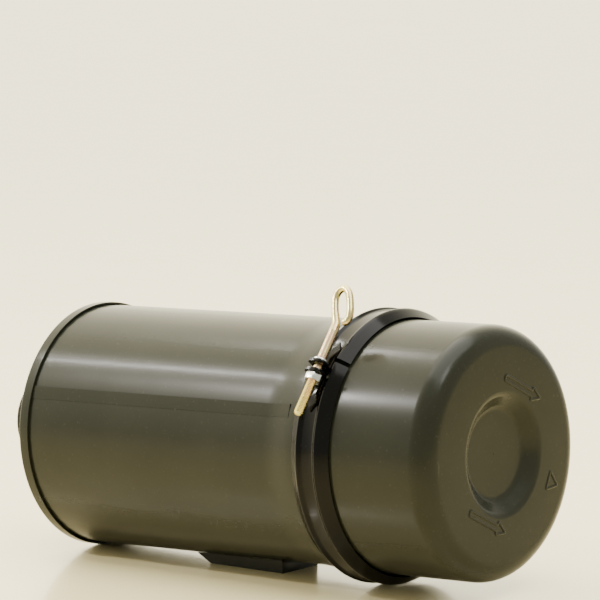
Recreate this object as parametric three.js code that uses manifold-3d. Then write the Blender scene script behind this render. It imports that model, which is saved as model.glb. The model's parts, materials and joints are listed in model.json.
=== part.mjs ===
// Engine air cleaner: a sheet-steel canister lying on its side, with its filter element and dust cup.
// Millimetres. Inside the canister group, X runs along the axis from the closed end to the dust cup,
// and Z is up. The group is then placed so that the origin is under the middle of the foot.
import * as THREE from "three";
import { mergeVertices } from "three/addons/utils/BufferGeometryUtils.js";
import Module from "manifold-3d";

const wasm = await Module();
wasm.setup();

// ---------------------------------------------------------------- driving dimensions
const gap = 0.3; // clearance between pieces that touch
const turns = 48; // sides of a large turned piece
const midTurns = 36; // sides of a duct or a filter sleeve
const smallTurns = 20; // sides of a small turned piece

const shell = { radius: 105, wall: 1.5, start: 3.6, mouth: 327, lip: 12, flareRun: 43, flare: 4.6 };
const seam = { angle: 25.3, width: 11, lift: 0.9, edge: 0.05, intoFlare: 28 };
const rim = { lift: 2.2, width: 10, front: 1.5, wall: 1.6, roll: 2 };
const pan = { depth: 5.5, inset: 4.5, slope: 1.5 };
const outlet = { radius: 38, wall: 2, length: 64, inside: 5, bead: 2.4, beadWidth: 6 };
const inlet = { radius: 36, wall: 2, reach: 46, at: 70, bead: 2.2, beadWidth: 6 };
const beadInset = 2; // from a duct's mouth to its bead
const foot = { fromFlare: 48, length: 71, slope: 30, width: 48, plate: 3, rise: 6 };
const footHoles = { radius: 4.5, spacing: 36 };
const cup = { depth: 117.6, over: 2, wall: 1.5, corner: 18.4, shoulder: 6, taper: 8 };
const skirt = { depth: 13, gap: 0.8 }; // the cup's skirt over the shell's mouth
const cupSeal = { width: 5, length: 4.4 };
const recess = { rim: 50.4, floor: 38.4, depth: 10.5, blend: 3.2, blendTurn: 50, fillet: 1.7 };
const band = { wall: 1.5, clear: 0.6, past: 0.5, floorHalf: 6.5, ridge: 2.6, ridgeRun: 2.5 };
const bandShoulder = { run: 2.5, drop: 1.3 };
const bandReach = { left: 18, right: 19, leftClear: 2, rightClear: 0.6 };
const split = { upper: 7.5, lower: -5.5, hinge: 2.4 }; // from the bolt and the hinge to the band's ends
const bolt = { angle: 39, radius: 4, pitch: 1.25, thread: 0.7, tip: -44.6, bend: 42 };
const boltHead = { wire: 3.1, collarRadius: 6.5, collar: 2.2 };
const nut = { acrossFlats: 13, height: 6.6, boreGap: 0.6 };
const lug = { plate: 2.5, offset: 3, width: 16, corner: 3, top: 8, reach: 34, point: 9 };
const strip = { thickness: 1.2, half: 5.8 };
const knuckle = { radius: 4.6, pin: 2.4, half: 9, inner: 4, link: 2.8, rivet: 1.8, rivetOver: 1.4 };
const leaf = { start: 6.6, reach: 26, point: 7, knuckleRun: 9, plateEnd: 12, padStart: 7.2, lap: 0.5 };
const rod = { radius: 4, beyond: 21, chamfer: 1, headRadius: 8, headHeight: 4.8 };
const yoke = { over: 7, width: 16, plate: 3, stand: 6 };
const element = { start: 22, short: 26, radius: 79, sheet: 1.4, lip: 7, boreOver: 11, gasket: 19 };
const washer = { thickness: 2, radius: 14 };
const liner = { wall: 1.2, inset: 1, windows: 12, bar: 10 };
const pleat = { count: 36, outerClear: 1.4, innerClear: 2, paper: 1.7 };
const vane = { count: 16, start: 118, length: 24, slant: 38, plate: 1.8, tipClear: 2.5, ring: 2.2 };
const baffle = { wall: 1.2, beyond: 18, skirtClear: 5, skirtLength: 39, flange: 12, edgeGap: 0.6 };
const baffleSlot = { fromSkirt: 2.8, fromEdge: 3.9, half: 26 };
const wing = { hub: 8, height: 7.5, span: 20, rise: 15, plate: 3, inset: 1, root: 2, tip: 3, slope: 8 };
const arrow = { length: 52.7, head: 12.4, headHalf: 5.8, shaftHalf: 2.5, turn: -26.3, inset: 5.5 };
const upMark = { half: 8, base: 6, out: 4, at: -26 };
const emboss = { line: 1.5, height: 0.9, root: 0.6, tailAngles: [85.3, 220.3] };

// ---------------------------------------------------------------- derived places
const flareStart = shell.mouth - shell.lip - shell.flareRun;
const mouthRadius = shell.radius + shell.flare;
const skirtRadius = mouthRadius + skirt.gap + cup.wall;
const cupRadius = shell.radius + cup.over;
const cupFace = shell.mouth + cup.depth;
const bandMiddle = shell.mouth + band.past;
const floorRadius = skirtRadius + band.clear + band.wall;
const crestRadius = floorRadius + band.ridge;
const stripTop = floorRadius + gap + strip.thickness;
const boltHeight = stripTop + gap + boltHead.collarRadius;
const axisHeight = crestRadius;
const footEnd = flareStart - foot.fromFlare;
const footToe = footEnd - foot.length;
const footMiddle = (footToe + footEnd) / 2;
const panFace = rim.front + pan.depth;
const capInside = panFace + rim.wall;
const elementEnd = shell.mouth - element.short;
const elementBore = outlet.radius + element.boreOver;
const outerLiner = element.radius - element.sheet - liner.inset;
const innerLiner = elementBore + element.sheet + liner.inset;
const washerStart = elementEnd + gap;
const nutStart = washerStart + washer.thickness + gap;
const rodEnd = elementEnd + rod.beyond;
const baffleFace = shell.mouth + baffle.beyond;
const baffleSkirt = element.radius + baffle.skirtClear + baffle.wall;
const rad = THREE.MathUtils.degToRad;

// ---------------------------------------------------------------- solids and meshes
// A closed geometry becomes a solid: only positions, shared corners, no flat triangles.
function solid(geometry) {
  const bare = geometry.clone();
  bare.deleteAttribute("normal");
  bare.deleteAttribute("uv");
  const merged = mergeVertices(bare, 1e-4);
  const index = merged.index.array;
  const corners = [];
  for (let i = 0; i < index.length; i += 3) {
    const [a, b, c] = index.slice(i, i + 3);
    if (a !== b && b !== c && c !== a) corners.push(a, b, c);
  }
  const vertProperties = new Float32Array(merged.attributes.position.array);
  const mesh = new wasm.Mesh({ numProp: 3, vertProperties, triVerts: new Uint32Array(corners) });
  return new wasm.Manifold(mesh);
}

function geometryOf(shape) {
  const mesh = shape.getMesh();
  const geometry = new THREE.BufferGeometry();
  geometry.setAttribute("position", new THREE.BufferAttribute(mesh.vertProperties, 3));
  geometry.setIndex(new THREE.BufferAttribute(mesh.triVerts, 1));
  geometry.computeVertexNormals();
  return geometry;
}

function joined(pieces) {
  return pieces.map(solid).reduce((whole, piece) => whole.add(piece));
}

const finishes = {
  paint: { color: 0x55584c, roughness: 0.32, metalness: 0.25 },
  black: { color: 0x0c0c0c, roughness: 0.22, metalness: 0.2 },
  yellowZinc: { color: 0xd9cf86, roughness: 0.3, metalness: 0.9 },
  zinc: { color: 0xcfd2d0, roughness: 0.28, metalness: 0.9 },
  rubber: { color: 0x151515, roughness: 0.8, metalness: 0 },
  paper: { color: 0xd8cfae, roughness: 0.9, metalness: 0 },
  steel: { color: 0x9a9c9b, roughness: 0.4, metalness: 0.8 },
  plastic: { color: 0x1d1f20, roughness: 0.5, metalness: 0 },
};

function part(name, geometry, finish) {
  const mesh = new THREE.Mesh(geometry, new THREE.MeshStandardMaterial(finishes[finish]));
  mesh.name = name;
  return mesh;
}

// ---------------------------------------------------------------- shape helpers
// Twice the signed area of a closed outline.
function turnOf(points) {
  return points.reduce((sum, [x, y], i) => {
    const [nextX, nextY] = points[(i + 1) % points.length];
    return sum + x * nextY - nextX * y;
  }, 0);
}

// A profile of [along the axis, radius] points turned about X. It closes on itself, or, where it
// meets the axis, starts and ends there.
function turned(profile, sides = turns) {
  const onAxis = profile[0][1] === 0;
  const forward = turnOf(profile) < 0 ? profile : [...profile].reverse();
  const points = forward.map(([along, radius]) => new THREE.Vector2(radius, along));
  if (!onAxis) points.push(points[0].clone());
  const geometry = new THREE.LatheGeometry(points, sides);
  geometry.rotateZ(-Math.PI / 2);
  return geometry;
}

// A run of points moved sideways by a distance, with mitred corners. Positive is to the right.
function offset(points, distance, closed = false) {
  const last = points.length - 1;
  const normal = (i) => {
    const [x0, y0] = points[(i + points.length) % points.length];
    const [x1, y1] = points[(i + 1) % points.length];
    const length = Math.hypot(x1 - x0, y1 - y0);
    return [(y1 - y0) / length, (x0 - x1) / length];
  };
  return points.map(([x, y], i) => {
    const before = normal(closed || i > 0 ? i - 1 : i);
    const after = normal(closed || i < last ? i : i - 1);
    const scale = distance / (1 + before[0] * after[0] + before[1] * after[1]);
    return [x + scale * (before[0] + after[0]), y + scale * (before[1] + after[1])];
  });
}

// The closed profile of a sheet whose outer face is given, with its metal on the right-hand side.
function sheet(outer, wall) {
  return [...outer, ...offset(outer, wall).reverse()];
}

// Points on an arc about a centre, angles in degrees.
function arc(centreX, centreY, radius, from, to, steps) {
  return Array.from({ length: steps + 1 }, (_, i) => {
    const angle = rad(from + ((to - from) * i) / steps);
    return [centreX + radius * Math.cos(angle), centreY + radius * Math.sin(angle)];
  });
}

// A piece of a ring in the Y-Z plane, angles in degrees from +Y toward +Z.
function ringPiece(inner, outer, from, to, steps) {
  return [...arc(0, 0, outer, from, to, steps), ...arc(0, 0, inner, to, from, steps)];
}

const axisUp = new THREE.Matrix4().makeBasis(
  new THREE.Vector3(0, 1, 0), new THREE.Vector3(0, 0, 1), new THREE.Vector3(1, 0, 0));

// An outline in the Y-Z plane carried along X.
function extruded(outline, start, end, hole) {
  const shape = new THREE.Shape(outline.map(([y, z]) => new THREE.Vector2(y, z)));
  if (hole) shape.holes.push(new THREE.Path(hole.map(([y, z]) => new THREE.Vector2(y, z))));
  const geometry = new THREE.ExtrudeGeometry(shape, { depth: end - start, bevelEnabled: false });
  geometry.applyMatrix4(axisUp);
  geometry.translate(start, 0, 0);
  return geometry;
}

function block([x0, x1], [y0, y1], [z0, z1]) {
  const geometry = new THREE.BoxGeometry(x1 - x0, y1 - y0, z1 - z0);
  geometry.translate((x0 + x1) / 2, (y0 + y1) / 2, (z0 + z1) / 2);
  return geometry;
}

// A cylinder along X, Y or Z between two places.
function rodAlong(axis, radius, from, to, sides = smallTurns) {
  const geometry = new THREE.CylinderGeometry(radius, radius, to - from, sides);
  geometry.translate(0, (from + to) / 2, 0);
  if (axis === "x") geometry.rotateZ(-Math.PI / 2);
  if (axis === "z") geometry.rotateX(Math.PI / 2);
  return geometry;
}

function at(geometry, x, y, z) {
  return geometry.clone().translate(x, y, z);
}

// ---------------------------------------------------------------- canister
// The outer face of the shell, with an S-shaped flare towards its mouth.
function shellFace() {
  const steps = 5;
  const flare = Array.from({ length: steps + 1 }, (_, i) => {
    const t = i / steps;
    return [flareStart + shell.flareRun * t, shell.radius + shell.flare * t * t * (3 - 2 * t)];
  });
  return [[shell.start, shell.radius], ...flare, [shell.mouth, mouthRadius]];
}

// The shell's outer face filled out to the axis, as one solid.
function filled(face) {
  return solid(turned([[shell.start, 0], ...face, [shell.mouth, 0]]));
}

// The lapped seam is a wedge of the shell's own outer face, moved sideways along its lower edge, so it
// stands proud along the upper edge and thins out below.
function bodyShell() {
  const outer = filled(shellFace());
  const bore = filled(offset(shellFace(), shell.wall));
  const lapAngle = seam.width / shell.radius;
  const low = Math.PI - rad(seam.angle) + lapAngle;
  const shift = seam.lift / Math.sin(lapAngle);
  const out = shift ** 2 / (2 * shell.radius) + seam.edge;
  const move = [
    0, shift * Math.sin(low) + out * Math.cos(low), out * Math.sin(low) - shift * Math.cos(low)];
  const reach = mouthRadius * 1.2;
  const wedge = [[0, 0], ...arc(0, 0, reach, 180 - seam.angle, 180 - seam.angle + lapAngle / rad(1), 1)];
  const run = solid(extruded(wedge, rim.front + rim.width + gap, flareStart + seam.intoFlare));
  const lap = outer.translate(move).intersect(run);
  const hole = solid(rodAlong("y", inlet.radius - inlet.wall, shell.radius / 2, shell.radius * 2));
  const shape = outer.add(lap).subtract(bore).subtract(hole.translate([inlet.at, 0, 0]));
  return part("body_shell", geometryOf(shape), "paint");
}

function rearCap() {
  const rimRadius = shell.radius + rim.lift;
  const panRadius = shell.radius - pan.inset;
  const outer = [
    [rim.front + rim.width, rimRadius],
    ...arc(rim.front + rim.roll, rimRadius - rim.roll, rim.roll, 90, 180, 2),
    [rim.front, panRadius + pan.slope],
    [panFace, panRadius - pan.slope],
    [panFace, outlet.radius + gap],
  ];
  return part("rear_cap", turned(sheet(outer.reverse(), rim.wall)), "paint");
}

// A duct with a raised bead near its end, along X from its root to its mouth.
function duct(size, root, mouth) {
  const way = Math.sign(mouth - root);
  const crest = mouth - way * (size.beadWidth / 2 + beadInset);
  const bead = [-1, -0.5, 0.5, 1].map((t) => {
    return [crest + (way * t * size.beadWidth) / 2, size.radius + size.bead * (1 - t * t)];
  });
  const outer = [[root, size.radius], ...bead, [mouth, size.radius]];
  const bore = size.radius - size.wall;
  return turned([...outer, [mouth, bore], [root, bore]], midTurns);
}

function outletTube() {
  return part("outlet_tube", duct(outlet, capInside + outlet.inside, -outlet.length), "paint");
}

function inletTube() {
  const tube = duct(inlet, shell.radius / 2, shell.radius + inlet.reach).rotateZ(Math.PI / 2);
  const body = rodAlong("x", shell.radius + gap, 0, inlet.at * 2 + inlet.radius, turns);
  const cut = solid(at(tube, inlet.at, 0, 0)).subtract(solid(body));
  return part("inlet_tube", geometryOf(cut), "paint");
}

// A closed box with a sloping toe, cut to the shell's curve, with two bolt holes in its base.
function mountingFoot() {
  const low = -axisHeight;
  const half = foot.width / 2;
  const top = -shell.radius + foot.rise;
  const start = footToe - foot.slope;
  const profile = [[footToe, low], [footEnd, low], [footEnd, top], [start, top]];
  const outline = new THREE.Shape(profile.map(([x, z]) => new THREE.Vector2(x, z)));
  const slab = new THREE.ExtrudeGeometry(outline, { depth: foot.width, bevelEnabled: false });
  slab.rotateX(Math.PI / 2).translate(0, half, 0);
  const body = rodAlong("x", shell.radius + gap, start - foot.slope, footEnd + foot.slope, turns);
  const wide = half - foot.plate;
  const long = [footToe + foot.plate, footEnd - foot.plate];
  const pocket = block(long, [-wide, wide], [low + foot.plate, top + foot.rise]);
  let bracket = solid(slab).subtract(solid(body)).subtract(solid(pocket));
  for (const side of [-1, 1]) {
    const hole = rodAlong("z", footHoles.radius, low - foot.plate, low + foot.plate * 2);
    bracket = bracket.subtract(solid(at(hole, footMiddle + (side * footHoles.spacing) / 2, 0, 0)));
  }
  return part("mounting_foot", geometryOf(bracket), "paint");
}

function centreYoke() {
  const back = capInside + gap;
  const face = back + yoke.stand;
  const half = yoke.width / 2;
  const end = outlet.radius + yoke.over;
  const bar = block([face, face + yoke.plate], [-half, half], [-end, end]);
  const leg = block([back, face + gap], [-half, half], [end - yoke.plate, end]);
  const otherLeg = block([back, face + gap], [-half, half], [-end, yoke.plate - end]);
  const hole = solid(rodAlong("x", rod.radius + gap, back, face + yoke.plate * 2));
  return part("centre_yoke", geometryOf(joined([bar, leg, otherLeg]).subtract(hole)), "steel");
}

function centreRod() {
  const face = capInside + yoke.stand;
  const profile = [
    [face - rod.headHeight, 0], [face - rod.headHeight, rod.headRadius], [face, rod.headRadius],
    [face, rod.radius], [rodEnd - rod.chamfer, rod.radius], [rodEnd, rod.radius - rod.chamfer], [rodEnd, 0],
  ];
  return part("centre_rod", turned(profile, smallTurns), "zinc");
}

// ---------------------------------------------------------------- filter element
function elementGasket() {
  const start = capInside + gap;
  const end = element.start - gap;
  const outer = elementBore + element.gasket;
  const profile = [[start, elementBore], [start, outer], [end, outer], [end, elementBore]];
  return part("element_gasket", turned(profile, midTurns), "rubber");
}

function elementCap(name, face, inward, bore) {
  const lip = face + inward * element.lip;
  const floor = face + inward * element.sheet;
  const inside = element.radius - element.sheet;
  const profile = [
    [face, bore], [face, element.radius], [lip, element.radius],
    [lip, inside], [floor, inside], [floor, bore],
  ];
  return part(name, turned(profile, midTurns), "steel");
}

// A sleeve with long windows between its bars.
function linerSleeve(name, radius) {
  const start = element.start + element.sheet + gap;
  const end = elementEnd - element.sheet - gap;
  const inner = radius - liner.wall;
  let sleeve = solid(turned([[start, inner], [start, radius], [end, radius], [end, inner]], midTurns));
  for (let i = 0; i < liner.windows; i += 1) {
    const step = 360 / liner.windows;
    const spare = (liner.bar / radius) * (90 / Math.PI);
    const from = i * step + spare;
    const outline = ringPiece(inner - liner.wall, radius + liner.wall, from, from + step - spare * 2, 1);
    sleeve = sleeve.subtract(solid(extruded(outline, start + liner.bar, end - liner.bar)));
  }
  return part(name, geometryOf(sleeve), "steel");
}

function pleatedMedia() {
  const zigzag = (outer, inner) => Array.from({ length: pleat.count * 2 }, (_, i) => {
    const angle = (Math.PI * i) / pleat.count;
    const radius = i % 2 ? inner : outer;
    return [radius * Math.cos(angle), radius * Math.sin(angle)];
  });
  const start = element.start + element.sheet + gap;
  const end = elementEnd - element.sheet - gap;
  const tips = outerLiner - liner.wall - pleat.outerClear;
  const roots = innerLiner + pleat.innerClear;
  const outside = zigzag(tips, roots + pleat.paper);
  const inside = zigzag(tips - pleat.paper, roots).reverse();
  return part("pleated_media", extruded(outside, start, end, inside), "paper");
}

function vaneRing() {
  const inner = element.radius + gap;
  const start = vane.start;
  const end = start + vane.length;
  const hoop = [[start, inner], [start, inner + vane.ring], [end, inner + vane.ring], [end, inner]];
  let ring = solid(turned(hoop, midTurns));
  const root = inner + vane.ring / 2;
  const tip = shell.radius - shell.wall - vane.tipClear;
  for (let i = 0; i < vane.count; i += 1) {
    const blade = new THREE.BoxGeometry(vane.length, vane.plate, tip - root);
    blade.rotateZ(rad(vane.slant));
    blade.translate((start + end) / 2, 0, (tip + root) / 2);
    blade.rotateX((2 * Math.PI * i) / vane.count);
    ring = ring.add(solid(blade));
  }
  return part("vane_ring", geometryOf(ring), "plastic");
}

function sealWasher() {
  const bore = rod.radius + nut.boreGap;
  const end = washerStart + washer.thickness;
  const outer = washer.radius;
  const profile = [[washerStart, bore], [washerStart, outer], [end, outer], [end, bore]];
  return part("seal_washer", turned(profile, smallTurns), "rubber");
}

function wingNut() {
  const end = nutStart + wing.height;
  const hub = rodAlong("x", wing.hub, nutStart, end);
  const half = wing.plate / 2;
  const blades = [-1, 1].map((side) => {
    const outline = new THREE.Shape([
      new THREE.Vector2(nutStart + wing.inset, wing.hub - wing.root),
      new THREE.Vector2(end - wing.inset, wing.hub - wing.root),
      new THREE.Vector2(nutStart + wing.rise, wing.span - wing.tip),
      new THREE.Vector2(nutStart + wing.rise - wing.tip, wing.span),
      new THREE.Vector2(nutStart + wing.rise - wing.slope, wing.span - wing.inset),
    ]);
    const blade = new THREE.ExtrudeGeometry(outline, { depth: wing.plate, bevelEnabled: false });
    blade.translate(0, 0, -half);
    return side > 0 ? blade : blade.rotateX(Math.PI);
  });
  const bore = solid(rodAlong("x", rod.radius + nut.boreGap, nutStart - gap, end + gap));
  return part("wing_nut", geometryOf(joined([hub, ...blades]).subtract(bore)), "zinc");
}

// ---------------------------------------------------------------- dust cup
// An arrow from its tail at the origin along +Y, as an outline.
function arrowOutline() {
  const neck = arrow.length - arrow.head;
  return [
    [0, -arrow.shaftHalf], [neck, -arrow.shaftHalf], [neck, -arrow.headHalf], [arrow.length, 0],
    [neck, arrow.headHalf], [neck, arrow.shaftHalf], [0, arrow.shaftHalf],
  ];
}

// A raised line that follows an outline on the cup's face, turned and moved to a radius and an angle.
function raisedLine(outline, turn, radius, angle) {
  const inner = offset(outline, -emboss.line, true).reverse();
  const line = extruded(outline, -emboss.root, emboss.height, inner);
  const [[y, z]] = arc(0, 0, radius, angle, angle, 1);
  return line.rotateX(rad(turn)).translate(cupFace, y, z);
}

// The cup's outer face from its skirt to the middle of its recess.
function cupOutline(cornerSteps, blendSteps) {
  const shoulder = shell.mouth + cup.shoulder;
  const floor = cupFace - recess.depth;
  const blend = recess.blend;
  return [
    [shell.mouth - skirt.depth, skirtRadius], [shoulder, skirtRadius], [shoulder + cup.taper, cupRadius],
    ...arc(cupFace - cup.corner, cupRadius - cup.corner, cup.corner, 90, 0, cornerSteps),
    ...arc(cupFace - blend, recess.rim + blend, blend, 0, -recess.blendTurn, blendSteps),
    [floor + recess.fillet, recess.floor + recess.fillet], [floor, recess.floor], [floor, 0],
  ];
}

function dustCup() {
  const inner = offset(cupOutline(4, 1), cup.wall).reverse();
  const cupBody = solid(turned([...inner, ...cupOutline(8, 3)]));
  const middle = (recess.rim + cupRadius - cup.corner) / 2;
  const mark = [[-upMark.half, -upMark.base], [upMark.half, -upMark.base], [0, upMark.half]];
  const lines = [
    ...emboss.tailAngles.map((angle) => raisedLine(arrowOutline(), arrow.turn, middle - arrow.inset, angle)),
    raisedLine(mark, upMark.at - 90, middle + upMark.out, upMark.at),
  ];
  const whole = lines.reduce((sum, line) => sum.add(solid(line)), cupBody);
  return part("dust_cup", geometryOf(whole), "paint");
}

function cupGasket() {
  const start = shell.mouth + gap;
  const end = start + cupSeal.length;
  const outer = mouthRadius + skirt.gap - gap;
  const inner = outer - cupSeal.width;
  const profile = [[start, inner], [start, outer], [end, outer], [end, inner]];
  return part("cup_gasket", turned(profile, turns), "rubber");
}

function dustBaffle() {
  const edge = cupRadius - cup.wall - baffle.edgeGap;
  const inside = baffleSkirt - baffle.wall;
  const end = baffleFace - baffle.skirtLength;
  const back = baffleFace + baffle.wall;
  const profile = [
    [baffleFace, 0], [baffleFace, inside], [end, inside], [end, baffleSkirt], [baffleFace, baffleSkirt],
    [baffleFace, edge], [baffleFace + baffle.flange, edge],
    [baffleFace + baffle.flange, edge - baffle.wall], [back, edge - baffle.wall], [back, 0],
  ];
  const from = 90 - baffleSlot.half;
  const [low, high] = [baffleSkirt + baffleSlot.fromSkirt, edge - baffleSlot.fromEdge];
  const slot = ringPiece(low, high, from, from + baffleSlot.half * 2, 8);
  const cut = solid(extruded(slot, baffleFace - baffle.wall, back + baffle.wall));
  return part("dust_baffle", geometryOf(solid(turned(profile)).subtract(cut)), "paint");
}

// ---------------------------------------------------------------- clamp band
// The clamp is drawn with its bolt at the top and its hinge at the bottom, about the middle of the
// band, and then turned to its place.
function bandHalf(name, side) {
  const left = -bandReach.left;
  const right = bandReach.right;
  const crest = band.floorHalf + band.ridgeRun;
  const shoulder = crest + bandShoulder.run;
  const outer = [
    [left, mouthRadius + bandReach.leftClear], [-shoulder, crestRadius - bandShoulder.drop],
    [-crest, crestRadius], [-band.floorHalf, floorRadius],
    [band.floorHalf, floorRadius], [crest, crestRadius],
    [shoulder, crestRadius - bandShoulder.drop], [right, cupRadius + band.wall + bandReach.rightClear],
  ];
  const corner = rad(bolt.angle % (360 / turns));
  const whole = solid(turned(sheet(outer, band.wall)).rotateX(corner));
  const from = side > 0 ? split.hinge - 90 : 90 + split.lower;
  const to = side > 0 ? 90 - split.upper : 270 - split.hinge;
  const wedge = [[0, 0], ...arc(0, 0, crestRadius * 1.3, from, to, 8)];
  return part(name, geometryOf(whole.intersect(solid(extruded(wedge, left - 1, right + 1)))), "black");
}

// A strip lying in the band's floor, from near the split, with a pointed far end.
function floorStrip(side, near, reach, point, half = strip.half) {
  const inner = floorRadius + gap;
  const ring = solid(turned([[-half, inner], [-half, stripTop], [half, stripTop], [half, inner]]));
  const plan = [[near, -half], [reach - point, -half], [reach, 0], [reach - point, half], [near, half]];
  const shape = new THREE.Shape(plan.map(([y, x]) => new THREE.Vector2(x, y)));
  const prism = new THREE.ExtrudeGeometry(shape, { depth: crestRadius * 1.3, bevelEnabled: false });
  if (side < 0) prism.rotateZ(Math.PI);
  return ring.intersect(solid(prism));
}

// A lug stands on its strip, is narrow between the band's ridges and wider above them.
function boltLug(name, side) {
  const near = lug.offset;
  const far = near + lug.plate;
  const half = lug.width / 2;
  const top = boltHeight + lug.top;
  const rightSide = [
    [strip.half, floorRadius + gap], [strip.half, crestRadius + gap], [half, crestRadius + lug.corner],
    [half, top - lug.corner], [half - lug.corner, top],
  ];
  const outline = [...rightSide, ...rightSide.map(([x, z]) => [-x, z]).reverse()];
  const shape = new THREE.Shape(outline.map(([x, z]) => new THREE.Vector2(x, z)));
  const ear = new THREE.ExtrudeGeometry(shape, { depth: lug.plate, bevelEnabled: false });
  ear.rotateX(Math.PI / 2).translate(0, side > 0 ? far : -near, 0);
  const hole = rodAlong("y", bolt.radius + nut.boreGap, -far - gap, far + gap);
  const base = floorStrip(side, (near + far) / 2, lug.reach, lug.point);
  const whole = solid(ear).add(base).subtract(solid(at(hole, 0, 0, boltHeight)));
  return part(name, geometryOf(whole), "black");
}

// One leaf of the hinge: its knuckles lie on the given runs along X.
function hingeLeaf(name, side, runs) {
  const level = -boltHeight;
  const linkTop = level + knuckle.radius + gap;
  const link = [linkTop - knuckle.link, linkTop];
  const span = (a, b) => (side > 0 ? [a, b] : [-b, -a]);
  const widest = runs[runs.length - 1][1];
  const padHalf = Math.min(widest, strip.half);
  let whole = floorStrip(side, leaf.start, leaf.reach, leaf.point, padHalf).mirror([0, 0, 1]);
  for (const [from, to] of runs) {
    whole = whole.add(solid(block([from, to], span(0, leaf.knuckleRun), link)));
    whole = whole.add(solid(at(rodAlong("x", knuckle.radius, from, to), 0, 0, level)));
  }
  const plate = block([-widest, widest], span(leaf.start, leaf.plateEnd), link);
  const pad = block([-padHalf, padHalf], span(leaf.padStart, leaf.plateEnd),
    [linkTop - leaf.lap, -floorRadius - gap]);
  const pinHole = at(rodAlong("x", knuckle.pin + gap, -knuckle.half * 2, knuckle.half * 2), 0, 0, level);
  whole = whole.add(solid(plate)).add(solid(pad)).subtract(solid(pinHole));
  return part(name, geometryOf(whole), "black");
}

function hingePin() {
  const end = knuckle.half + gap;
  const last = end + knuckle.rivet;
  const head = knuckle.pin + knuckle.rivetOver;
  const profile = [
    [-last, 0], [-last, head], [-end, head], [-end, knuckle.pin],
    [end, knuckle.pin], [end, head], [last, head], [last, 0],
  ];
  return part("hinge_pin", at(turned(profile, smallTurns), 0, 0, -boltHeight), "zinc");
}

function clampNut() {
  const top = -lug.offset - lug.plate - gap;
  const hexagon = new THREE.CylinderGeometry(
    nut.acrossFlats / Math.sqrt(3), nut.acrossFlats / Math.sqrt(3), nut.height, 6);
  hexagon.rotateY(Math.PI / 2).translate(0, top - nut.height / 2, 0);
  const bore = rodAlong("y", bolt.radius + nut.boreGap, top - nut.height - gap, top + gap);
  const whole = solid(hexagon).subtract(solid(bore)).translate([0, 0, boltHeight]);
  return part("clamp_nut", geometryOf(whole), "zinc");
}

// The thumb bolt along Y: threaded end, collar above the upper lug, shank, and a bent loop to turn.
function thumbBolt() {
  const collarStart = lug.offset + lug.plate + gap;
  const root = bolt.radius - bolt.thread;
  const profile = [[0, bolt.tip], [root, bolt.tip]];
  const threadEnd = -lug.offset - lug.plate - nut.height;
  const shankEnd = bolt.bend - boltHead.wire;
  const ridges = Math.floor((threadEnd - bolt.tip) / bolt.pitch);
  for (let i = 0; i < ridges; i += 1) {
    const start = bolt.tip + i * bolt.pitch;
    profile.push([bolt.radius, start + bolt.pitch / 2], [root, start + bolt.pitch]);
  }
  profile.push(
    [bolt.radius, threadEnd], [bolt.radius, collarStart],
    [boltHead.collarRadius, collarStart], [boltHead.collarRadius, collarStart + boltHead.collar],
    [bolt.radius, collarStart + boltHead.collar], [bolt.radius, shankEnd], [0, shankEnd]);
  const points = profile.map(([radius, along]) => new THREE.Vector2(radius, along));
  const shank = new THREE.LatheGeometry(points, 12);
  const way = [
    [0, -6, 0], [-0.8, 2, 0.4], [-5.2, 13, 3], [-8, 23, 5], [-6, 29.5, 6.6], [-0.5, 31.5, 7.4],
    [5, 27.5, 6.6], [9.4, 18, 4.4], [11.6, 9.5, 2.6], [10.4, 4, 1.4], [6.6, 2.6, 0.9],
  ].map(([x, along, out]) => new THREE.Vector3(x, bolt.bend + along, out));
  const section = new THREE.Shape(arc(0, 0, boltHead.wire, 0, 324, 9).map(([x, y]) => {
    return new THREE.Vector2(x, y);
  }));
  const curve = new THREE.CatmullRomCurve3(way);
  const loop = new THREE.ExtrudeGeometry(section, { steps: 28, extrudePath: curve, bevelEnabled: false });
  const whole = solid(shank).add(solid(loop)).translate([0, 0, boltHeight]);
  return part("thumb_bolt", geometryOf(whole), "yellowZinc");
}

// ---------------------------------------------------------------- assembly
const clamp = new THREE.Group();
clamp.position.x = bandMiddle;
clamp.rotation.x = rad(90 - bolt.angle);
clamp.add(
  bandHalf("clamp_band_upper", 1), bandHalf("clamp_band_lower", -1),
  boltLug("upper_lug", 1), boltLug("lower_lug", -1),
  hingeLeaf("hinge_leaf_upper", 1, [[-knuckle.inner, knuckle.inner]]),
  hingeLeaf("hinge_leaf_lower", -1, [
    [-knuckle.half, -knuckle.inner - gap], [knuckle.inner + gap, knuckle.half]]),
  hingePin(), clampNut(), thumbBolt(),
);

const canister = new THREE.Group();
canister.position.set(-footMiddle, 0, axisHeight);
canister.add(
  bodyShell(), rearCap(), outletTube(), inletTube(), mountingFoot(), centreYoke(), centreRod(),
  elementGasket(), elementCap("element_cap_open", element.start, 1, elementBore),
  elementCap("element_cap_closed", elementEnd, -1, rod.radius + nut.boreGap),
  linerSleeve("outer_liner", outerLiner), linerSleeve("inner_liner", innerLiner),
  pleatedMedia(), vaneRing(), sealWasher(), wingNut(),
  dustCup(), cupGasket(), dustBaffle(), clamp,
);

export default canister;
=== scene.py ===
# Engine air cleaner on its side: materials, finer skins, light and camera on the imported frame. Metres, Z up.
import json
import math
import bpy
import numpy as np
from mathutils import Matrix, Vector


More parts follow.
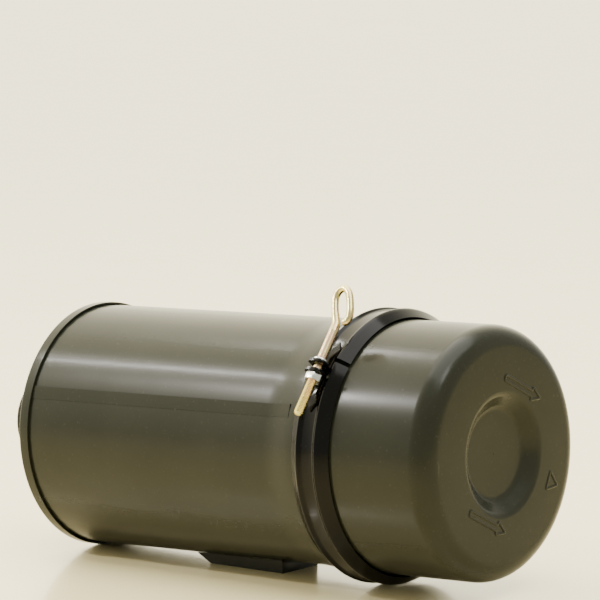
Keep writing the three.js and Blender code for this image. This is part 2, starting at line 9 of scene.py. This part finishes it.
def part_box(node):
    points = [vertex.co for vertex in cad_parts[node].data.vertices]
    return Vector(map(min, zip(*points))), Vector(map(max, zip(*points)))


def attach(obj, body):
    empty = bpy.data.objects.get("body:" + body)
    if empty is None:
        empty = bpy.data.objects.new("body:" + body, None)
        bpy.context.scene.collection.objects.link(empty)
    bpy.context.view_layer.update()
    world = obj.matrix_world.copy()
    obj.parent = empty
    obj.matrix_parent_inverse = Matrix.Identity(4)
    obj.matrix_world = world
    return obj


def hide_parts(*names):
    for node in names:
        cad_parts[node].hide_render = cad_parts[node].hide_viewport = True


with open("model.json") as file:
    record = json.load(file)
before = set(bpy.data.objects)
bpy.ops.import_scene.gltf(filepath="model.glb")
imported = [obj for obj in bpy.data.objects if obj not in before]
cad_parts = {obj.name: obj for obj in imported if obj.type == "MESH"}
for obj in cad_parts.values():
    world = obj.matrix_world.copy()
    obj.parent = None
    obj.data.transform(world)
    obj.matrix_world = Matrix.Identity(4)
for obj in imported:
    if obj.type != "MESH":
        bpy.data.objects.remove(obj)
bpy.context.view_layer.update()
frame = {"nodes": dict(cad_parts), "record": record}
nodes = frame["nodes"]
print("frame loaded with", len(nodes), "nodes")

capLow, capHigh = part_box("rear_cap")
cupLow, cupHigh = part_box("dust_cup")
nutLow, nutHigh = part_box("clamp_nut")
axisZ = (capLow.z + capHigh.z) / 2  # height of the canister's axis
bandMiddle = (nutLow.x + nutHigh.x) / 2  # where the clamp's middle plane stands on X

# Camera
cameraView = {"azimuth": 39.22, "elevation": 8.19, "distance": 3.76, "lens": 264.0,
              "roll": 2.03, "tilt": -1.80, "pan": 0.07, "aimX": 0.0397}


def placeCamera(look):
    around, rise = math.radians(look["azimuth"]), math.radians(look["elevation"])
    back = Vector((math.sin(around) * math.cos(rise), -math.cos(around) * math.cos(rise), math.sin(rise)))
    right = Vector((math.cos(around), math.sin(around), 0))
    level = Matrix((right, back.cross(right), back))
    roll = Matrix.Rotation(math.radians(look["roll"]), 3, "Z")
    tilt = Matrix.Rotation(math.radians(look["tilt"]), 3, "X")
    pan = Matrix.Rotation(math.radians(look["pan"]), 3, "Y")
    data = bpy.data.cameras.new("studioCamera")
    data.lens = look["lens"]
    data.sensor_width = 36
    data.clip_end = 50
    camera = bpy.data.objects.new("studioCamera", data)
    bpy.context.scene.collection.objects.link(camera)
    place = Vector((look["aimX"], 0, axisZ)) + back * look["distance"]
    turn = (roll @ tilt @ pan @ level).transposed()
    camera.matrix_world = Matrix.Translation(place) @ turn.to_4x4()
    bpy.context.scene.camera = camera


placeCamera(cameraView)
print("camera placed")


# Small tools for node trees
def addNode(tree, kind, inputs=None, **settings):
    made = tree.nodes.new(kind)
    for name, value in settings.items():
        setattr(made, name, value)
    for name, value in (inputs or {}).items():
        if isinstance(value, bpy.types.NodeSocket):
            tree.links.new(value, made.inputs[name])
        else:
            made.inputs[name].default_value = value
    return made


def startMaterial(name, settings):
    material = bpy.data.materials.new(name)
    material.use_nodes = True
    tree = material.node_tree
    tree.nodes.clear()
    output = tree.nodes.new("ShaderNodeOutputMaterial")
    shader = addNode(tree, "ShaderNodeBsdfPrincipled", settings)
    tree.links.new(shader.outputs["BSDF"], output.inputs["Surface"])
    place = tree.nodes.new("ShaderNodeTexCoord").outputs["Object"]
    return material, tree, shader, place


def noise(tree, place, scale, detail=3.0, rough=0.5, stretch=None):
    if stretch:
        place = addNode(tree, "ShaderNodeMapping", {"Vector": place, "Scale": stretch}).outputs["Vector"]
    inputs = {"Vector": place, "Scale": scale, "Detail": detail, "Roughness": rough}
    return addNode(tree, "ShaderNodeTexNoise", inputs).outputs["Fac"]


def ramp(tree, factor, stops):
    made = addNode(tree, "ShaderNodeValToRGB", {"Fac": factor})
    elements = made.color_ramp.elements
    while len(elements) < len(stops):
        elements.new(0.5)
    for element, (position, value) in zip(elements, stops):
        element.position = position
        element.color = (value, value, value, 1) if isinstance(value, (int, float)) else (*value, 1)
    return made.outputs["Color"]


def mix(tree, factor, first, second):
    made = addNode(tree, "ShaderNodeMix", data_type="RGBA")
    for socket, value in ((made.inputs[0], factor), (made.inputs[6], first), (made.inputs[7], second)):
        if isinstance(value, bpy.types.NodeSocket):
            tree.links.new(value, socket)
        else:
            socket.default_value = (*value, 1) if isinstance(value, tuple) else value
    return made.outputs[2]


def bump(tree, height, distance, strength, under=None):
    inputs = {"Height": height, "Distance": distance, "Strength": strength}
    if under:
        inputs["Normal"] = under
    return addNode(tree, "ShaderNodeBump", inputs).outputs["Normal"]


def spread(tree, factor, low, high):
    inputs = {"Value": factor, "To Min": low, "To Max": high}
    return addNode(tree, "ShaderNodeMapRange", inputs).outputs["Result"]


# Materials
greenPaint = {"colour": (0.0135, 0.0148, 0.0095), "worn": (0.018, 0.0195, 0.013),
              "scratch": (0.04, 0.04, 0.031), "roughLow": 0.20, "roughHigh": 0.29,
              "peel": 0.10, "dent": 0.35, "gloss": 0.16, "coat": 0.04}
blackPaint = {"colour": (0.0008, 0.0008, 0.0008), "worn": (0.0015, 0.0015, 0.0014),
              "scratch": (0.012, 0.012, 0.011), "roughLow": 0.10, "roughHigh": 0.18,
              "peel": 0.14, "dent": 0.3, "gloss": 0.13, "coat": 0.03}


# Sprayed paint on sheet steel: cloudy colour, orange peel, shallow waves in the sheet and fine scratches.
def paintMaterial(name, look):
    settings = {"Specular IOR Level": look["gloss"], "Coat Weight": look["coat"], "Coat Roughness": 0.1}
    material, tree, shader, place = startMaterial(name, settings)
    clouds = noise(tree, place, 9.0, 4.0, 0.55)
    colour = mix(tree, ramp(tree, clouds, [(0.35, 0.0), (0.7, 1.0)]), look["colour"], look["worn"])
    speck = ramp(tree, noise(tree, place, 420.0, 1.0, 0.4), [(0.66, 0.0), (0.8, 0.4)])
    colour = mix(tree, speck, colour, look["scratch"])
    lengthwise = noise(tree, place, 1.0, 4.0, 0.7, (14.0, 420.0, 420.0))
    upright = noise(tree, place, 1.0, 4.0, 0.7, (520.0, 60.0, 24.0))
    fine = ramp(tree, lengthwise, [(0.69, 0.0), (0.73, 0.35)])
    ticks = ramp(tree, upright, [(0.71, 0.0), (0.75, 0.5)])
    colour = mix(tree, fine, colour, look["scratch"])
    colour = mix(tree, ticks, colour, look["scratch"])
    tree.links.new(colour, shader.inputs["Base Color"])
    smears = noise(tree, place, 26.0, 5.0, 0.6, (0.4, 1.0, 1.0))
    tree.links.new(spread(tree, smears, look["roughLow"], look["roughHigh"]), shader.inputs["Roughness"])
    waves = bump(tree, noise(tree, place, 17.0, 1.5, 0.4, (0.6, 1.0, 1.0)), 0.0012, look["dent"])
    peel = bump(tree, noise(tree, place, 700.0, 2.0, 0.5), 0.00006, look["peel"], waves)
    normal = bump(tree, ticks, 0.00003, 0.4, peel)
    tree.links.new(normal, shader.inputs["Normal"])
    return material


yellowZinc = {"colour": (0.66, 0.58, 0.24), "second": (0.66, 0.45, 0.28), "third": (0.50, 0.54, 0.24),
              "roughLow": 0.16, "roughHigh": 0.36}
brightZinc = {"colour": (0.72, 0.73, 0.72), "second": (0.60, 0.61, 0.60), "third": (0.66, 0.67, 0.70),
              "roughLow": 0.18, "roughHigh": 0.34}
bareSteel = {"colour": (0.50, 0.50, 0.49), "second": (0.36, 0.36, 0.35), "third": (0.44, 0.42, 0.40),
             "roughLow": 0.30, "roughHigh": 0.5}


# Plated or bare metal: drifting tint of the plating, drawn lines and dull handling marks.
def metalMaterial(name, look):
    material, tree, shader, place = startMaterial(name, {"Metallic": 1.0})
    drift = ramp(tree, noise(tree, place, 60.0, 2.0, 0.5), [(0.42, 0.0), (0.62, 1.0)])
    patch = ramp(tree, noise(tree, place, 110.0, 3.0, 0.6), [(0.55, 0.0), (0.72, 1.0)])
    colour = mix(tree, patch, mix(tree, drift, look["colour"], look["second"]), look["third"])
    tree.links.new(colour, shader.inputs["Base Color"])
    marks = noise(tree, place, 240.0, 5.0, 0.65)
    tree.links.new(spread(tree, marks, look["roughLow"], look["roughHigh"]), shader.inputs["Roughness"])
    drawn = noise(tree, place, 1.0, 2.0, 0.5, (1800.0, 300.0, 300.0))
    tree.links.new(bump(tree, drawn, 0.00004, 0.3), shader.inputs["Normal"])
    return material


sealRubber = {"colour": (0.012, 0.012, 0.012), "second": (0.022, 0.021, 0.02),
              "rough": 0.7, "grain": 0.5, "grainScale": 500.0}
filterPaper = {"colour": (0.62, 0.53, 0.33), "second": (0.70, 0.62, 0.42),
               "rough": 0.85, "grain": 0.8, "grainScale": 900.0}
vanePlastic = {"colour": (0.02, 0.021, 0.022), "second": (0.03, 0.031, 0.033),
               "rough": 0.45, "grain": 0.4, "grainScale": 700.0}


# Matt moulded rubber, paper or plastic: grain and faint blotches.
def mattMaterial(name, look):
    material, tree, shader, place = startMaterial(name, {"Specular IOR Level": 0.4})
    blotch = ramp(tree, noise(tree, place, 40.0, 4.0, 0.6), [(0.35, 0.0), (0.7, 1.0)])
    tree.links.new(mix(tree, blotch, look["colour"], look["second"]), shader.inputs["Base Color"])
    roughness = spread(tree, noise(tree, place, 300.0), look["rough"] - 0.08, look["rough"] + 0.08)
    tree.links.new(roughness, shader.inputs["Roughness"])
    grain = noise(tree, place, look["grainScale"], 3.0)
    tree.links.new(bump(tree, grain, 0.0001, look["grain"]), shader.inputs["Normal"])
    return material


finishes = {
    "green_paint": paintMaterial("greenPaint", greenPaint),
    "black_paint": paintMaterial("blackPaint", blackPaint),
    "yellow_zinc": metalMaterial("yellowZinc", yellowZinc),
    "bright_zinc": metalMaterial("brightZinc", brightZinc),
    "bare_steel": metalMaterial("bareSteel", bareSteel),
    "seal_rubber": mattMaterial("sealRubber", sealRubber),
    "filter_paper": mattMaterial("filterPaper", filterPaper),
    "vane_plastic": mattMaterial("vanePlastic", vanePlastic),
}
print("materials made:", len(finishes))


# Smooth shading and softened edges on the frame's own pieces
def geometryGroup(name):
    group = bpy.data.node_groups.new(name, "GeometryNodeTree")
    group.interface.new_socket("Geometry", in_out="INPUT", socket_type="NodeSocketGeometry")
    group.interface.new_socket("Geometry", in_out="OUTPUT", socket_type="NodeSocketGeometry")
    return group, group.nodes.new("NodeGroupInput"), group.nodes.new("NodeGroupOutput")


# Joins the loose triangles' corners and drops their stored flat normals.
def makeWeld():
    group, entry, leave = geometryGroup("weldCorners")
    weldInputs = {"Geometry": entry.outputs[0], "Distance": 1e-6}
    weld = addNode(group, "GeometryNodeMergeByDistance", weldInputs)
    dropInputs = {"Geometry": weld.outputs[0], "Name": "custom_normal"}
    drop = addNode(group, "GeometryNodeRemoveAttribute", dropInputs)
    group.links.new(drop.outputs[0], leave.inputs[0])
    return group


# Shades every face smooth, then marks the edges that turn more than the angle as sharp.
def makeSmooth(angle):
    group, entry, leave = geometryGroup("smoothByAngle")
    smoothInputs = {"Geometry": entry.outputs[0], "Shade Smooth": True}
    faces = addNode(group, "GeometryNodeSetShadeSmooth", smoothInputs)
    turn = addNode(group, "GeometryNodeInputMeshEdgeAngle")
    steep = addNode(group, "FunctionNodeCompare", {"B": math.radians(angle)}, operation="GREATER_THAN")
    group.links.new(turn.outputs["Unsigned Angle"], steep.inputs["A"])
    flatInputs = {"Geometry": faces.outputs[0], "Shade Smooth": False}
    edges = addNode(group, "GeometryNodeSetShadeSmooth", flatInputs, domain="EDGE")
    group.links.new(steep.outputs[0], edges.inputs["Selection"])
    group.links.new(edges.outputs[0], leave.inputs[0])
    return group


sharpAngle = 32  # degrees between two faces, past which their edge stays crisp
weldGroup, smoothGroup = makeWeld(), makeSmooth(sharpAngle)
edgeSoftness = {"mounting_foot": 0.0005, "upper_lug": 0.0004, "lower_lug": 0.0004, "hinge_leaf_upper": 0.0003,
                "hinge_leaf_lower": 0.0003, "clamp_nut": 0.0005, "hinge_pin": 0.0004, "wing_nut": 0.0005,
                "centre_yoke": 0.0004}


def dressNode(name, node):
    node.modifiers.new("weld", "NODES").node_group = weldGroup
    if name in edgeSoftness:
        bevel = node.modifiers.new("edges", "BEVEL")
        bevel.width = edgeSoftness[name]
        bevel.segments = 2
        bevel.limit_method = "ANGLE"
        bevel.angle_limit = math.radians(sharpAngle)
    node.modifiers.new("smooth", "NODES").node_group = smoothGroup


slotOf = {piece["node"]: piece["material_slot"] for piece in frame["record"]["subparts"]}
for name, node in nodes.items():
    dressNode(name, node)
    node.data.materials.clear()
    node.data.materials.append(finishes[slotOf[name]])
print("frame pieces dressed")


# Surfaces worked out as arrays.
# Corners of a run of points replaced by short curves: each is (1-t)^2 A + 2t(1-t) C + t^2 B between points A
# and B that lie a reach before and after the corner C.
def bentCorners(points, reach, steps=5, closed=False):
    points = np.asarray(points, float)
    before, after = np.roll(points, 1, 0), np.roll(points, -1, 0)
    lengthBefore = np.linalg.norm(before - points, axis=1, keepdims=True)
    lengthAfter = np.linalg.norm(after - points, axis=1, keepdims=True)
    start = points + (before - points) / lengthBefore * np.minimum(reach, lengthBefore * 0.45)
    end = points + (after - points) / lengthAfter * np.minimum(reach, lengthAfter * 0.45)
    t = np.linspace(0, 1, steps)[None, :, None]
    curves = (1 - t) ** 2 * start[:, None] + 2 * t * (1 - t) * points[:, None] + t ** 2 * end[:, None]
    if closed:
        return curves.reshape(-1, points.shape[1])
    inner = curves[1:-1].reshape(-1, points.shape[1])
    return np.concatenate([points[:1], inner, points[-1:]])


# A run of points moved to its right by a distance along the mean of its two neighbours' normals.
def offsetRun(points, distance):
    points = np.asarray(points, float)
    step = np.diff(points, axis=0)
    normal = np.stack([step[:, 1], -step[:, 0]], 1) / np.linalg.norm(step, axis=1, keepdims=True)
    first = np.concatenate([normal[:1], normal])
    second = np.concatenate([normal, normal[-1:]])
    scale = distance / (1 + (first * second).sum(1, keepdims=True))
    return points + (first + second) * scale


# Faces between neighbouring rows and columns of a grid of points, turned outwards by the sign of the volume.
def gridObject(name, points, wrapRows, wrapColumns, capRows=False, capColumns=False):
    rows, columns = points.shape[:2]
    index = np.arange(rows * columns).reshape(rows, columns)
    rowEnd = rows if wrapRows else rows - 1
    columnEnd = columns if wrapColumns else columns - 1
    a = index[:rowEnd, :columnEnd]
    b = np.roll(index, -1, 0)[:rowEnd, :columnEnd]
    c = np.roll(np.roll(index, -1, 0), -1, 1)[:rowEnd, :columnEnd]
    d = np.roll(index, -1, 1)[:rowEnd, :columnEnd]
    quads = np.stack([a, b, c, d], -1).reshape(-1, 4)
    corners = points.reshape(-1, 3)
    faces = quads.tolist()
    if capRows:
        faces += [index[0].tolist(), index[-1][::-1].tolist()]
    if capColumns:
        faces += [index[:, 0][::-1].tolist(), index[:, -1].tolist()]
    middle = corners.mean(0)
    one, two, three, four = (corners[quads[:, k]] - middle for k in range(4))
    volume = (one * np.cross(two, three)).sum() + (one * np.cross(three, four)).sum()
    if volume < 0:
        faces = [face[::-1] for face in faces]
    mesh = bpy.data.meshes.new(name)
    mesh.from_pydata(corners.tolist(), [], faces)
    mesh.validate()
    made = bpy.data.objects.new(name, mesh)
    bpy.context.scene.collection.objects.link(made)
    return made


def finishPiece(piece, body, slotName, replaced=()):
    piece.data.materials.append(finishes[slotName])
    piece.modifiers.new("smooth", "NODES").node_group = smoothGroup
    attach(piece, body)
    if replaced:
        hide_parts(*replaced)


# A closed profile of (along X, radius) turned about the canister's axis: (x, -r sin a, r cos a).
def turnedObject(name, profile, sides):
    angle = np.linspace(0, 2 * np.pi, sides, endpoint=False)
    along, radius = profile[:, :1], profile[:, 1:]
    x = np.broadcast_to(along, (len(profile), sides))
    points = np.stack([x, -radius * np.sin(angle), radius * np.cos(angle) + axisZ], -1)
    return gridObject(name, points, wrapRows=True, wrapColumns=True)


# Dust cup
cupShape = {"radius": 0.107, "wall": 0.0015, "corner": 0.0184, "skirtLength": 0.019, "shoulder": 0.008,
            "recessRim": 0.0504, "recessFloor": 0.0384, "recessDepth": 0.0105, "blend": 0.0034,
            "shoulderBend": 0.003, "pole": 0.0005, "markRise": 0.0009, "sides": 192}
cupFace = cupHigh.x - cupShape["markRise"]  # the flat face, under the marks that stand up from it


def makeDustCup(size):
    mouth = cupLow.x
    skirt = (cupHigh.z - cupLow.z) / 2
    corner = size["corner"]
    turn = np.linspace(np.pi / 2, 0, 14)
    centre = size["radius"] - corner
    rounded = np.stack([cupFace - corner + corner * np.cos(turn), centre + corner * np.sin(turn)], 1)
    floorX = cupFace - size["recessDepth"]
    skirtEnd = mouth + size["skirtLength"]
    start = bentCorners([(mouth, skirt), (skirtEnd, skirt), (skirtEnd + size["shoulder"], size["radius"]),
                         tuple(rounded[0])], size["shoulderBend"], 6)[:-1]
    middle = bentCorners([tuple(rounded[-1]), (cupFace, size["recessRim"]), (floorX, size["recessFloor"]),
                          (floorX, size["pole"])], size["blend"], 8)[1:]
    outer = np.concatenate([start, rounded, middle])
    inner = offsetRun(outer, size["wall"])[::-1]
    inner[0] = (floorX - size["wall"], size["pole"])
    cup = turnedObject("cupSkin", np.concatenate([outer, inner]), size["sides"])
    finishPiece(cup, "cup", "green_paint", ["dust_cup"])


markShape = {"length": 0.0527, "head": 0.0124, "headHalf": 0.0058, "shaftHalf": 0.0025, "turn": -26.3,
             "radius": 0.064, "upperAngle": 85.3, "lowerAngle": 220.3, "upRadius": 0.0735, "upAngle": -26.0,
             "upHalf": 0.008, "upWidth": 0.006, "line": 0.0026, "bend": 0.0016}


# A raised line on the cup's face: an ellipse carried round a closed outline, half of it under the face.
def makeRaisedLine(name, outline, turn, radius, angle, size):
    path = bentCorners(outline, size["bend"], 5, closed=True)
    ahead = np.roll(path, -1, 0) - np.roll(path, 1, 0)
    ahead /= np.linalg.norm(ahead, axis=1, keepdims=True)
    side = np.stack([ahead[:, 1], -ahead[:, 0]], 1)
    around = np.linspace(0, 2 * np.pi, 12, endpoint=False)
    flat = path[:, None] + side[:, None] * (np.cos(around) * size["line"] / 2)[None, :, None]
    lift = np.broadcast_to(np.sin(around) * cupShape["markRise"], flat.shape[:2])
    c, s = math.cos(math.radians(turn)), math.sin(math.radians(turn))
    y = radius * math.cos(math.radians(angle)) + flat[..., 0] * c - flat[..., 1] * s
    z = radius * math.sin(math.radians(angle)) + flat[..., 0] * s + flat[..., 1] * c + axisZ
    line = gridObject(name, np.stack([cupFace + lift, y, z], -1), wrapRows=True, wrapColumns=True)
    finishPiece(line, "cup", "green_paint")


def makeFaceMarks(size):
    neck = size["length"] - size["head"]
    shaft, head = size["shaftHalf"], size["headHalf"]
    arrow = [(0, -shaft), (neck, -shaft), (neck, -head), (size["length"], 0),
             (neck, head), (neck, shaft), (0, shaft)]
    makeRaisedLine("upperArrow", arrow, size["turn"], size["radius"], size["upperAngle"], size)
    makeRaisedLine("lowerArrow", arrow, size["turn"], size["radius"], size["lowerAngle"], size)
    half, width = size["upHalf"], size["upWidth"]
    triangle = [(-half, -width), (half, -width), (0, half)]
    makeRaisedLine("upMark", triangle, size["upAngle"] - 90, size["upRadius"], size["upAngle"], size)


makeDustCup(cupShape)
makeFaceMarks(markShape)
print("dust cup made")

# Rear cap with its rolled rim
capShape = {"rimRadius": 0.1072, "rimWidth": 0.010, "wall": 0.0016, "pan": 0.0055, "panRadius": 0.1005,
            "panSlant": 0.0015, "bore": 0.0383, "bend": 0.0022, "sides": 192}


def makeRearCap(size):
    front = capLow.x
    pan = front + size["pan"]
    outer = bentCorners([(pan, size["bore"]), (pan, size["panRadius"] - size["panSlant"]),
                         (front, size["panRadius"] + size["panSlant"]), (front, size["rimRadius"]),
                         (front + size["rimWidth"], size["rimRadius"])], size["bend"], 7)
    inner = offsetRun(outer, size["wall"])[::-1]
    cap = turnedObject("rolledCap", np.concatenate([outer, inner]), size["sides"])
    finishPiece(cap, "canister", "green_paint", ["rear_cap"])


makeRearCap(capShape)
print("rear cap made")

# Clamp band: the profile of the strap carried round each half
bandShape = {"boltAngle": 39.0, "wall": 0.0015, "upperGap": 7.5, "lowerGap": -5.5, "hingeGap": 2.4,
             "crest": 0.1166, "floor": 0.114, "drop": 0.0013, "bend": 0.0018, "steps": 170,
             "crestAt": 0.009, "floorAt": 0.0065, "shoulderAt": 0.0115, "rearAt": -0.018, "rearDrop": 0.0024,
             "cupAt": 0.019, "cupEdge": 0.1091}


# Clamp coordinates have the bolt at the top; a turn about the axis brings them to their place.
def fromClamp(x, y, z):
    turn = math.radians(90 - bandShape["boltAngle"])
    c, s = math.cos(turn), math.sin(turn)
    return np.stack([x + bandMiddle, y * c - z * s, y * s + z * c + axisZ], -1)


def makeBandHalf(name, side, boltGap, size, body, replaced):
    crest, floor, shoulder = size["crest"], size["floor"], size["crest"] - size["drop"]
    outer = [(size["rearAt"], floor - size["rearDrop"]), (-size["shoulderAt"], shoulder),
             (-size["crestAt"], crest), (-size["floorAt"], floor), (size["floorAt"], floor),
             (size["crestAt"], crest), (size["shoulderAt"], shoulder), (size["cupAt"], size["cupEdge"])]
    outer = bentCorners(outer, size["bend"], 5)
    profile = np.concatenate([outer, offsetRun(outer, size["wall"])[::-1]])
    start = math.radians(boltGap)
    end = math.radians(180 - size["hingeGap"])
    angle = side * np.linspace(start, end, size["steps"])
    x = np.broadcast_to(profile[:, :1], (len(profile), size["steps"]))
    points = fromClamp(x, profile[:, 1:] * np.sin(angle), profile[:, 1:] * np.cos(angle))
    band = gridObject(name, points, wrapRows=True, wrapColumns=False, capColumns=True)
    finishPiece(band, body, "black_paint", replaced)


makeBandHalf("upperStrap", 1, bandShape["upperGap"], bandShape, "upper_half", ["clamp_band_upper"])
makeBandHalf("lowerStrap", -1, bandShape["lowerGap"], bandShape, "lower_half", ["clamp_band_lower"])
print("clamp band made")

# Thumb bolt: one rod with a rolled thread and a bent loop, and its collar
boltShape = {"distance": 0.1223, "radius": 0.004, "wire": 0.0031, "pitch": 0.00125, "threadDepth": 0.00065,
             "tip": -0.0446, "chamfer": 0.0015, "chamferDepth": 0.0012, "threadEnd": -0.008, "bend": 0.042,
             "sides": 40, "collar": 0.0065, "collarStart": 0.0058, "collarLength": 0.0022,
             "collarBite": 0.0002, "collarBend": 0.0006, "collarSides": 48}
loopWay = [(0, -0.006, 0), (-0.0008, 0.002, 0.0004), (-0.0052, 0.013, 0.003), (-0.008, 0.023, 0.005),
           (-0.006, 0.0295, 0.0066), (-0.0005, 0.0315, 0.0074), (0.005, 0.0275, 0.0066),
           (0.0094, 0.018, 0.0044), (0.0116, 0.0095, 0.0026), (0.0104, 0.004, 0.0014),
           (0.0066, 0.0026, 0.0009)]


# A smooth curve through points, each span a cubic of its four nearest points (Catmull-Rom).
def throughPoints(points, steps):
    points = np.asarray(points, float)
    padded = np.concatenate([2 * points[:1] - points[1:2], points, 2 * points[-1:] - points[-2:-1]])
    t = np.linspace(0, 1, steps, endpoint=False)[None, :, None]
    a, b, c, d = padded[:-3, None], padded[1:-2, None], padded[2:-1, None], padded[3:, None]
    squared, cubed = 2 * a - 5 * b + 4 * c - d, 3 * b - a - 3 * c + d
    span = 0.5 * (2 * b + (c - a) * t + squared * t ** 2 + cubed * t ** 3)
    return np.concatenate([span.reshape(-1, 3), points[-1:]])


# A circle carried along a path; its radius depends on the place along the path and the angle round it.
def sweptObject(name, path, radius, sides):
    ahead = np.gradient(path, axis=0)
    ahead /= np.linalg.norm(ahead, axis=1, keepdims=True)
    across = np.array([0.0, 0.0, 1.0]) - ahead * ahead[:, 2:3]
    across /= np.linalg.norm(across, axis=1, keepdims=True)
    other = np.cross(ahead, across)
    angle = np.linspace(0, 2 * np.pi, sides, endpoint=False)
    ring = across[:, None] * np.cos(angle)[None, :, None] + other[:, None] * np.sin(angle)[None, :, None]
    local = path[:, None] + ring * radius[..., None]
    points = fromClamp(local[..., 0], local[..., 1], local[..., 2] + boltShape["distance"])
    return gridObject(name, points, wrapRows=False, wrapColumns=True, capRows=True)


def makeThumbBolt(size):
    angle = np.linspace(0, 2 * np.pi, size["sides"], endpoint=False)
    straight = np.arange(size["tip"], size["bend"] + loopWay[0][1], size["pitch"] / 12)
    shank = np.stack([0 * straight, straight, 0 * straight], 1)
    loop = throughPoints([(x, y + size["bend"], z) for x, y, z in loopWay], 9)
    path = np.concatenate([shank, loop])
    along = path[:, 1].copy()
    along[len(straight):] = size["bend"]
    wave = np.abs(((along[:, None] / size["pitch"] - angle[None] / (2 * np.pi)) % 1) * 2 - 1)
    tipFade = np.clip((along - size["tip"]) / size["chamfer"], 0, 1)[:, None]
    inThread = (along < size["threadEnd"]).astype(float)[:, None]
    groove = size["threadDepth"] * wave * inThread
    radius = size["radius"] - groove - size["chamferDepth"] * (1 - tipFade) * inThread
    slim = np.clip(np.linspace(0, 1, len(loop)) * 5, 0, 1)  # down to the wire in a fifth of the loop
    radius[len(straight):] = (size["radius"] - (size["radius"] - size["wire"]) * slim)[:, None]
    radius[-2:] *= np.array([[0.93], [0.6]])  # the cut end is a little rounded
    bolt = sweptObject("thumbRod", path, radius, size["sides"])
    finishPiece(bolt, "bolt", "yellow_zinc", ["thumb_bolt"])


def makeCollar(size):
    start, end = size["collarStart"], size["collarStart"] + size["collarLength"]
    bore = size["radius"] - size["collarBite"]
    corners = [(start, bore), (start, size["collar"]), (end, size["collar"]), (end, bore)]
    profile = bentCorners(corners, size["collarBend"], 5, closed=True)
    angle = np.linspace(0, 2 * np.pi, size["collarSides"], endpoint=False)
    y = np.broadcast_to(profile[:, :1], (len(profile), size["collarSides"]))
    points = fromClamp(profile[:, 1:] * np.cos(angle), y, profile[:, 1:] * np.sin(angle) + size["distance"])
    finishPiece(gridObject("boltCollar", points, True, True), "bolt", "bright_zinc")


makeThumbBolt(boltShape)
makeCollar(boltShape)
print("thumb bolt made")


# Table, light and backdrop
studio = {"reach": 14.0, "table": (0.95, 0.82, 0.47), "behind": (1.0, 0.92, 0.66), "side": (0.34, 0.33, 0.27),
          "front": (0.2, 0.2, 0.165), "strength": 4.4}


# The table passes under the rear rim and under the clamp: the canister lies on those two.
def makeTable(look):
    rimEnd, rimBottom = capHigh.x, capLow.z
    crestNear = bandMiddle - bandShape["crestAt"]
    slope = rimBottom / (crestNear - rimEnd)
    side = np.array([-1.0, 1.0]) * look["reach"]
    x, y = np.meshgrid(side, side)
    corners = np.stack([x, y, slope * (crestNear - x)], -1).reshape(-1, 3)
    mesh = bpy.data.meshes.new("tableTop")
    mesh.from_pydata(corners.tolist(), [], [(0, 1, 3, 2)])
    table = bpy.data.objects.new("tableTop", mesh)
    bpy.context.scene.collection.objects.link(table)
    material, tree, shader, place = startMaterial("tableGloss", {"Coat Weight": 0.3, "Coat Roughness": 0.08})
    second = tuple(value * 0.97 for value in look["table"])
    tree.links.new(mix(tree, noise(tree, place, 3.0), look["table"], second), shader.inputs["Base Color"])
    tree.links.new(spread(tree, noise(tree, place, 12.0), 0.2, 0.28), shader.inputs["Roughness"])
    mesh.materials.append(material)


def makeWorld(look):
    world = bpy.data.worlds.new("studioRoom")
    bpy.context.scene.world = world
    world.use_nodes = True
    tree = world.node_tree
    background = tree.nodes["Background"]
    direction = tree.nodes.new("ShaderNodeTexCoord").outputs["Generated"]
    towards = Vector((-0.9, 0.3, 0.25)).normalized()
    along = addNode(tree, "ShaderNodeVectorMath", {0: direction, 1: towards}, operation="DOT_PRODUCT")
    stops = [(0.0, look["front"]), (0.35, look["side"]), (0.75, look["behind"])]
    shade = ramp(tree, along.outputs["Value"], stops)
    tree.links.new(shade, background.inputs["Color"])
    background.inputs["Strength"].default_value = look["strength"]


# A lamp that shines from its place at a target, its width lying level along X.
def addSoftbox(name, place, target, width, height, power, colour=(1, 0.98, 0.93)):
    data = bpy.data.lights.new(name, "AREA")
    data.shape = "RECTANGLE"
    data.size, data.size_y = width, height
    data.energy = power
    data.color = colour
    lamp = bpy.data.objects.new(name, data)
    bpy.context.scene.collection.objects.link(lamp)
    back = (Vector(place) - Vector(target)).normalized()
    across = Vector((0, 1, 0)).cross(back).normalized() if abs(back.x) > 0.9 else Vector((1, 0, 0))
    across = (across - back * across.dot(back)).normalized()
    turn = Matrix((across, back.cross(across), back)).transposed()
    lamp.matrix_world = Matrix.Translation(Vector(place)) @ turn.to_4x4()


# Where a lamp stands: its X, and its rise seen along the axis, from the camera's side up over the top.
def overAxis(x, rise, distance=1.62):
    angle = math.radians(rise)
    return (x, -math.cos(angle) * distance, math.sin(angle) * distance + axisZ)


makeTable(studio)
makeWorld(studio)
middle = (0.0, 0.0, axisZ)
stripBack, cupBack = -1.42, -1.04  # how far behind the middle the lamps for the body and the cup stand
cupEnd = (0.23, 0, axisZ)
lamps = {
    "overhead": {"place": (0.3, 0.2, 2.6), "target": middle, "width": 3.0, "height": 2.4, "power": 110},
    "bodyStrip": {"place": overAxis(stripBack, 68), "target": (stripBack, 0, axisZ),
                  "width": 0.42, "height": 0.06, "power": 10},
    "cupStrip": {"place": overAxis(cupBack, 50), "target": (cupBack, 0, axisZ),
                 "width": 0.24, "height": 0.10, "power": 26},
    "topStrip": {"place": overAxis(cupBack, 99), "target": (cupBack, 0, axisZ),
                 "width": 0.24, "height": 0.08, "power": 6},
    "faceLight": {"place": (1.6, -0.2, 1.9), "target": cupEnd, "width": 0.5, "height": 0.5, "power": 10},
}
for name, lamp in lamps.items():
    addSoftbox(name, **lamp)
print("table and light set")
